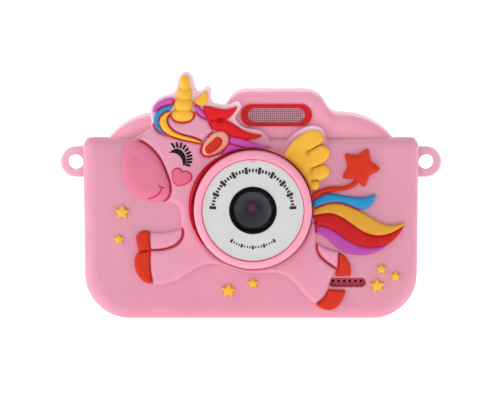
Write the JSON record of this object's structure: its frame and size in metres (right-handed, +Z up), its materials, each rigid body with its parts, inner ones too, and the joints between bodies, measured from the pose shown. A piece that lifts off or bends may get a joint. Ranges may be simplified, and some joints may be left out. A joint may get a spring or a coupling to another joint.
{
  "type": "kids digital camera",
  "caption": "Compact children's digital camera in a soft silicone jacket with a unicorn in relief, round lens ring, flash hump, rear screen and push buttons.",
  "frame": {"origin": "on the jacket's flat base, under the middle of the camera body", "axes": "+X to the right of a viewer who faces the lens, +Z up, the lens looks along -Y"},
  "size_m": [0.1198, 0.036, 0.0774],
  "materials": {
    "jacket_silicone": "matte moulded silicone, pale pink",
    "silicone_rose": "matte moulded silicone, deeper rose",
    "silicone_yellow": "matte moulded silicone, warm yellow",
    "silicone_purple": "matte moulded silicone, orchid purple",
    "silicone_blue": "matte moulded silicone, bright blue",
    "silicone_red": "matte moulded silicone, bright red",
    "silicone_orange": "matte moulded silicone, deep orange",
    "silicone_beige": "matte moulded silicone, flesh beige",
    "silicone_black": "satin printed black",
    "pink_plastic": "fine satin ABS, pink",
    "disc_silver": "silver grey satin sheet",
    "lens_black": "matte black with turned steps",
    "clear_lens": "clear, coated",
    "flash_red": "glossy red",
    "flash_clear": "clear, dotted",
    "reflector_chrome": "vacuum-plated reflector",
    "circuit_board": "green solder mask",
    "grille_rose": "satin dark rose",
    "speaker_steel": "pressed steel",
    "switch_black": "moulded black",
    "port_steel": "stamped, tin-plated steel",
    "card_black": "moulded black",
    "battery_wrap": "foil pouch",
    "lcd_black": "dark display cell in a metal tray",
    "flex_amber": "polyimide film",
    "screen_black": "black-backed acrylic window",
    "screw_steel": "zinc-plated steel",
    "button_white": "glossy white ABS"
  },
  "bodies": {
    "camera": {"battery": "battery_wrap", "board_screws": "screw_steel", "card_slot": "port_steel", "cheek_heart": "silicone_rose", "closed_eye": "silicone_black", "ear_inner": "silicone_orange", "ear_outer": "silicone_beige", "flash_bezel": "flash_red", "flash_led_board": "circuit_board", "flash_reflector": "reflector_chrome", "flash_window": "flash_clear", "forehead_tuft": "silicone_yellow", "front_cover": "pink_plastic", "hooves": "silicone_orange", "horn": "silicone_yellow", "housing_screws": "screw_steel", "lcd_flex": "flex_amber", "lcd_module": "lcd_black", "lens_barrel": "lens_black", "lens_face_disc": "disc_silver", "lens_glass": "clear_lens", "lens_hood": "lens_black", "lens_ring": "pink_plastic", "lens_ring_screws": "screw_steel", "lens_window": "clear_lens", "main_board": "circuit_board", "mane_blue": "silicone_blue", "mane_purple": "silicone_purple", "mane_red": "silicone_red", "mane_yellow": "silicone_yellow", "microphone": "speaker_steel", "muzzle": "silicone_rose", "rear_cover": "pink_plastic", "screen_window": "screen_black", "sensor_board": "circuit_board", "shooting_star": "silicone_orange", "silicone_jacket": "jacket_silicone", "small_stars": "silicone_yellow", "speaker": "speaker_steel", "speaker_grille": "grille_rose", "tact_switches": "switch_black", "tail_blue": "silicone_blue", "tail_purple": "silicone_purple", "tail_red": "silicone_red", "tail_yellow": "silicone_yellow", "top_switch_board": "circuit_board", "unicorn_body": "jacket_silicone", "usb_port": "port_steel", "wing": "silicone_yellow"},
    "shutter": {"shutter_button": "button_white"},
    "power": {"power_button": "button_white"},
    "card": {"memory_card": "card_black"},
    "up_key": {"up_button": "button_white"},
    "down_key": {"down_button": "button_white"},
    "left_key": {"left_button": "button_white"},
    "right_key": {"right_button": "button_white"},
    "ok_key": {"ok_button": "button_white"},
    "mode_key": {"mode_button": "button_white"},
    "playback_key": {"playback_button": "button_white"}
  },
  "joints": [
    {"name": "shutter_press", "type": "slide", "parent": "camera", "child": "shutter", "axis": [0, 0, -1], "range_m": [0, 0.0008], "stiffness_N_per_m": 300},
    {"name": "power_press", "type": "slide", "parent": "camera", "child": "power", "axis": [0, 0, -1], "range_m": [0, 0.0006], "stiffness_N_per_m": 300},
    {"name": "up_press", "type": "slide", "parent": "camera", "child": "up_key", "axis": [0, -1, 0], "range_m": [0, 0.0006], "stiffness_N_per_m": 300},
    {"name": "down_press", "type": "slide", "parent": "camera", "child": "down_key", "axis": [0, -1, 0], "range_m": [0, 0.0006], "stiffness_N_per_m": 300},
    {"name": "left_press", "type": "slide", "parent": "camera", "child": "left_key", "axis": [0, -1, 0], "range_m": [0, 0.0006], "stiffness_N_per_m": 300},
    {"name": "right_press", "type": "slide", "parent": "camera", "child": "right_key", "axis": [0, -1, 0], "range_m": [0, 0.0006], "stiffness_N_per_m": 300},
    {"name": "ok_press", "type": "slide", "parent": "camera", "child": "ok_key", "axis": [0, -1, 0], "range_m": [0, 0.0006], "stiffness_N_per_m": 300},
    {"name": "mode_press", "type": "slide", "parent": "camera", "child": "mode_key", "axis": [0, -1, 0], "range_m": [0, 0.0006], "stiffness_N_per_m": 300},
    {"name": "playback_press", "type": "slide", "parent": "camera", "child": "playback_key", "axis": [0, -1, 0], "range_m": [0, 0.0006], "stiffness_N_per_m": 300},
    {"name": "card_slide", "type": "slide", "parent": "camera", "child": "card", "axis": [1, 0, 0], "range_m": [0, 0.014]}
  ]
}
